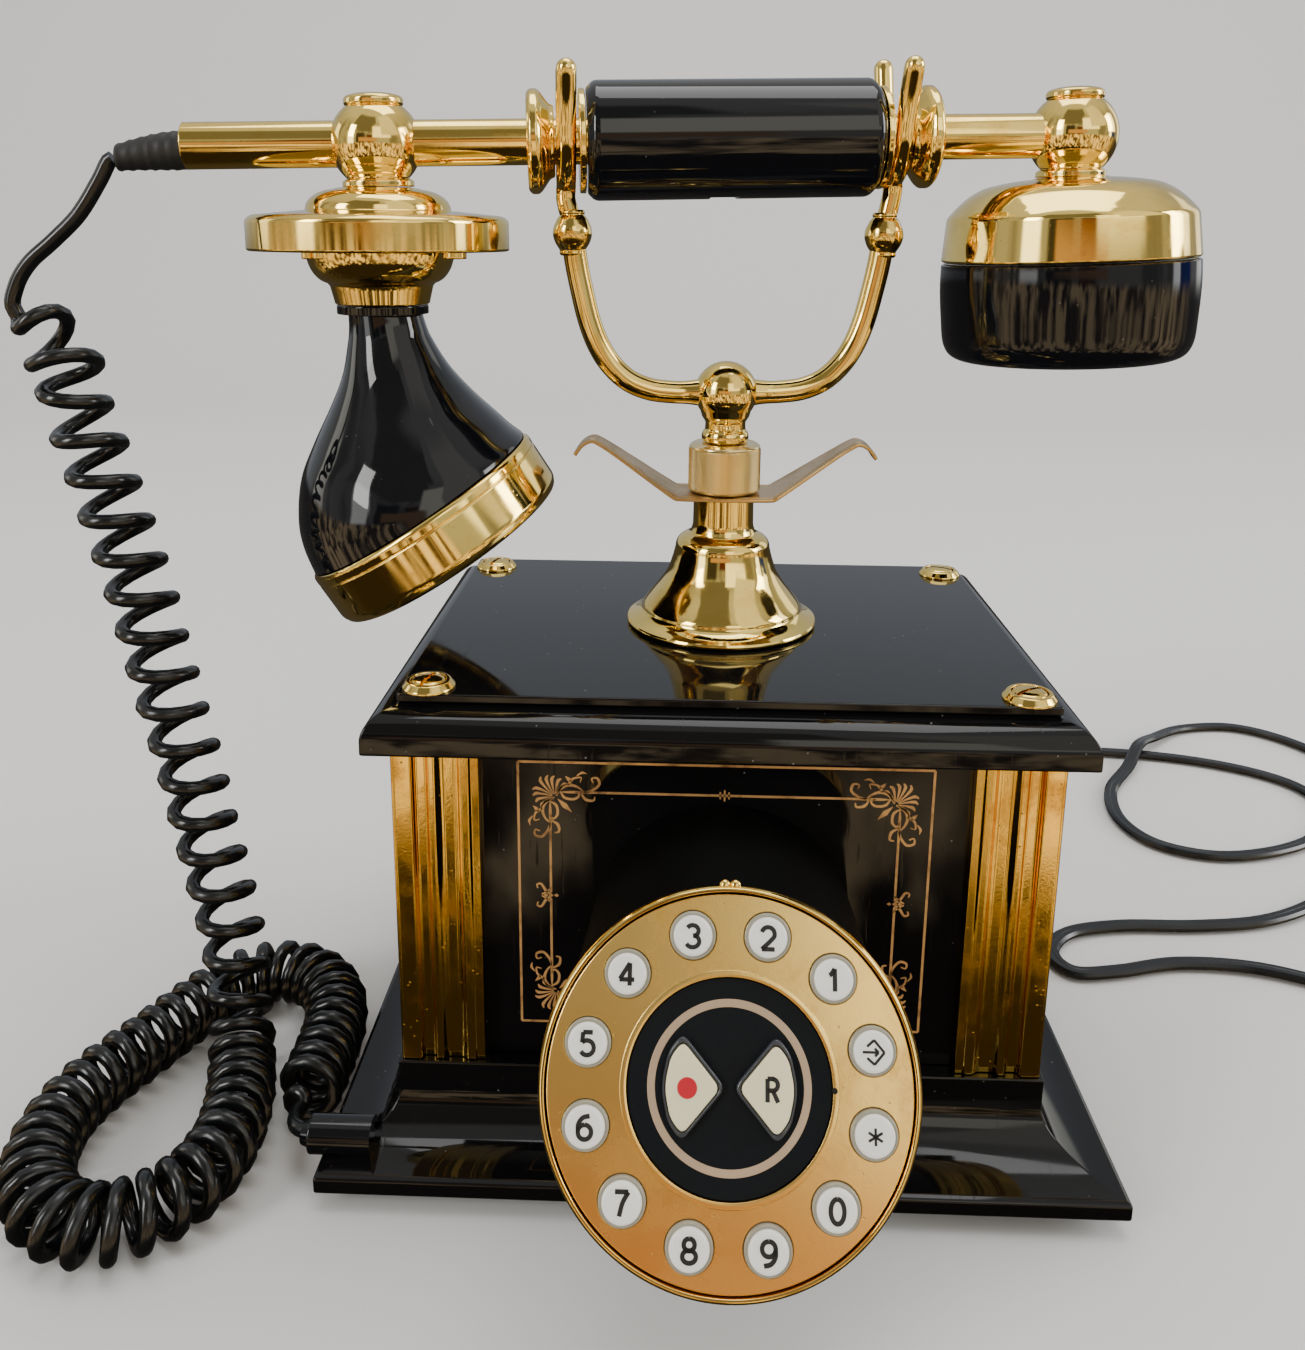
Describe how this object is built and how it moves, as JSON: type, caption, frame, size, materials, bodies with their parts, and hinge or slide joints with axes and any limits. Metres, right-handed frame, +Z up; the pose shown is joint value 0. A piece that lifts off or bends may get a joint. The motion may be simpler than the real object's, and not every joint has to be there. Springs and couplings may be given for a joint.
{
  "type": "rotary telephone",
  "caption": "Table telephone with a lacquered column-cornered box, push-button dial on a front drum, sprung forked cradle on a turned stem and a brass handset that lifts off.",
  "frame": {"origin": "middle of the telephone's own box (cords left out), on the floor it stands on", "axes": "+X to the right seen from the dial's side, +Y to the back, +Z up"},
  "size_m": [0.4532, 0.3434, 0.2673],
  "materials": {
    "lacquer": "black gloss lacquer, gilt line ornament on the panels",
    "polished_brass": "polished, with wear and tarnish in the hollows",
    "worn_brass": "dull, rubbed",
    "dial_brass": "brushed, worn",
    "steel": "bare wire",
    "gloss_black": "polished black",
    "black_plastic": "fine grain",
    "rubber": "soft black",
    "cord_black": "semi-gloss sheath",
    "key_white": "satin, printed figures",
    "key_cream": "satin",
    "board": "solder mask"
  },
  "bodies": {
    "base": {"plinth": "lacquer", "case": "lacquer", "cornice": "lacquer", "top_plate": "lacquer", "bottom_cover": "black_plastic", "column_front_left": "polished_brass", "column_front_right": "polished_brass", "column_back_left": "polished_brass", "column_back_right": "polished_brass", "foot_front_left": "rubber", "foot_front_right": "rubber", "foot_back_left": "rubber", "foot_back_right": "rubber", "circuit_board": "board", "hook_spring": "steel", "handset_jack": "black_plastic", "line_grommet": "rubber", "bell": "polished_brass", "wing_strip": "worn_brass", "knurled_collar": "polished_brass", "dial_housing": "lacquer", "dial_plate": "dial_brass", "dial_rim": "polished_brass", "centre_disc": "black_plastic", "handset_cord_lead": "cord_black", "handset_cord_curl": "cord_black", "line_cord": "cord_black", "line_coil": "cord_black", "line_plug": "key_cream"},
    "cradle": {"cradle": "polished_brass"},
    "handset": {"handset_tube": "polished_brass", "grip": "gloss_black", "inner_flange_left": "polished_brass", "inner_flange_right": "polished_brass", "outer_flange_left": "polished_brass", "outer_flange_right": "polished_brass", "cord_boot": "rubber", "ear_ball": "polished_brass", "receiver_cover": "polished_brass", "receiver_cup": "gloss_black", "ear_capsule": "black_plastic", "mouth_ball": "polished_brass", "mouth_disc": "polished_brass", "mouthpiece": "gloss_black", "mouthpiece_ring": "polished_brass", "mic_capsule": "black_plastic"},
    "key_1": {"key_1": "key_white"},
    "key_2": {"key_2": "key_white"},
    "key_3": {"key_3": "key_white"},
    "key_4": {"key_4": "key_white"},
    "key_5": {"key_5": "key_white"},
    "key_6": {"key_6": "key_white"},
    "key_7": {"key_7": "key_white"},
    "key_8": {"key_8": "key_white"},
    "key_9": {"key_9": "key_white"},
    "key_0": {"key_0": "key_white"},
    "key_star": {"key_star": "key_white"},
    "key_redial": {"key_redial": "key_white"},
    "key_mute": {"key_mute": "key_cream"},
    "key_recall": {"key_recall": "key_cream"}
  },
  "joints": [
    {"name": "handset_lift", "type": "slide", "parent": "base", "child": "handset", "axis": [0, 0, 1], "range_m": [0, 0.04]},
    {"name": "cradle_rise", "type": "slide", "parent": "base", "child": "cradle", "axis": [0, 0, 1], "range_m": [0, 0.004], "stiffness_N_per_m": 300, "springref_m": 0.009, "deforming": ["hook_spring"]},
    {"name": "press_1", "type": "slide", "parent": "base", "child": "key_1", "axis": [0, 0.8886, -0.4587], "range_m": [0, 0.0015], "stiffness_N_per_m": 300, "springref_m": -0.0005},
    {"name": "press_2", "type": "slide", "parent": "base", "child": "key_2", "axis": [0, 0.8886, -0.4587], "range_m": [0, 0.0015], "stiffness_N_per_m": 300, "springref_m": -0.0005},
    {"name": "press_3", "type": "slide", "parent": "base", "child": "key_3", "axis": [0, 0.8886, -0.4587], "range_m": [0, 0.0015], "stiffness_N_per_m": 300, "springref_m": -0.0005},
    {"name": "press_4", "type": "slide", "parent": "base", "child": "key_4", "axis": [0, 0.8886, -0.4587], "range_m": [0, 0.0015], "stiffness_N_per_m": 300, "springref_m": -0.0005},
    {"name": "press_5", "type": "slide", "parent": "base", "child": "key_5", "axis": [0, 0.8886, -0.4587], "range_m": [0, 0.0015], "stiffness_N_per_m": 300, "springref_m": -0.0005},
    {"name": "press_6", "type": "slide", "parent": "base", "child": "key_6", "axis": [0, 0.8886, -0.4587], "range_m": [0, 0.0015], "stiffness_N_per_m": 300, "springref_m": -0.0005},
    {"name": "press_7", "type": "slide", "parent": "base", "child": "key_7", "axis": [0, 0.8886, -0.4587], "range_m": [0, 0.0015], "stiffness_N_per_m": 300, "springref_m": -0.0005},
    {"name": "press_8", "type": "slide", "parent": "base", "child": "key_8", "axis": [0, 0.8886, -0.4587], "range_m": [0, 0.0015], "stiffness_N_per_m": 300, "springref_m": -0.0005},
    {"name": "press_9", "type": "slide", "parent": "base", "child": "key_9", "axis": [0, 0.8886, -0.4587], "range_m": [0, 0.0015], "stiffness_N_per_m": 300, "springref_m": -0.0005},
    {"name": "press_0", "type": "slide", "parent": "base", "child": "key_0", "axis": [0, 0.8886, -0.4587], "range_m": [0, 0.0015], "stiffness_N_per_m": 300, "springref_m": -0.0005},
    {"name": "press_star", "type": "slide", "parent": "base", "child": "key_star", "axis": [0, 0.8886, -0.4587], "range_m": [0, 0.0015], "stiffness_N_per_m": 300, "springref_m": -0.0005},
    {"name": "press_redial", "type": "slide", "parent": "base", "child": "key_redial", "axis": [0, 0.8886, -0.4587], "range_m": [0, 0.0015], "stiffness_N_per_m": 300, "springref_m": -0.0005},
    {"name": "press_mute", "type": "slide", "parent": "base", "child": "key_mute", "axis": [0, 0.8886, -0.4587], "range_m": [0, 0.0015], "stiffness_N_per_m": 300, "springref_m": -0.0005},
    {"name": "press_recall", "type": "slide", "parent": "base", "child": "key_recall", "axis": [0, 0.8886, -0.4587], "range_m": [0, 0.0015], "stiffness_N_per_m": 300, "springref_m": -0.0005}
  ],
  "couplings": [
    {"joint": "cradle_rise", "follows": "handset_lift", "ratio": 0.1}
  ]
}
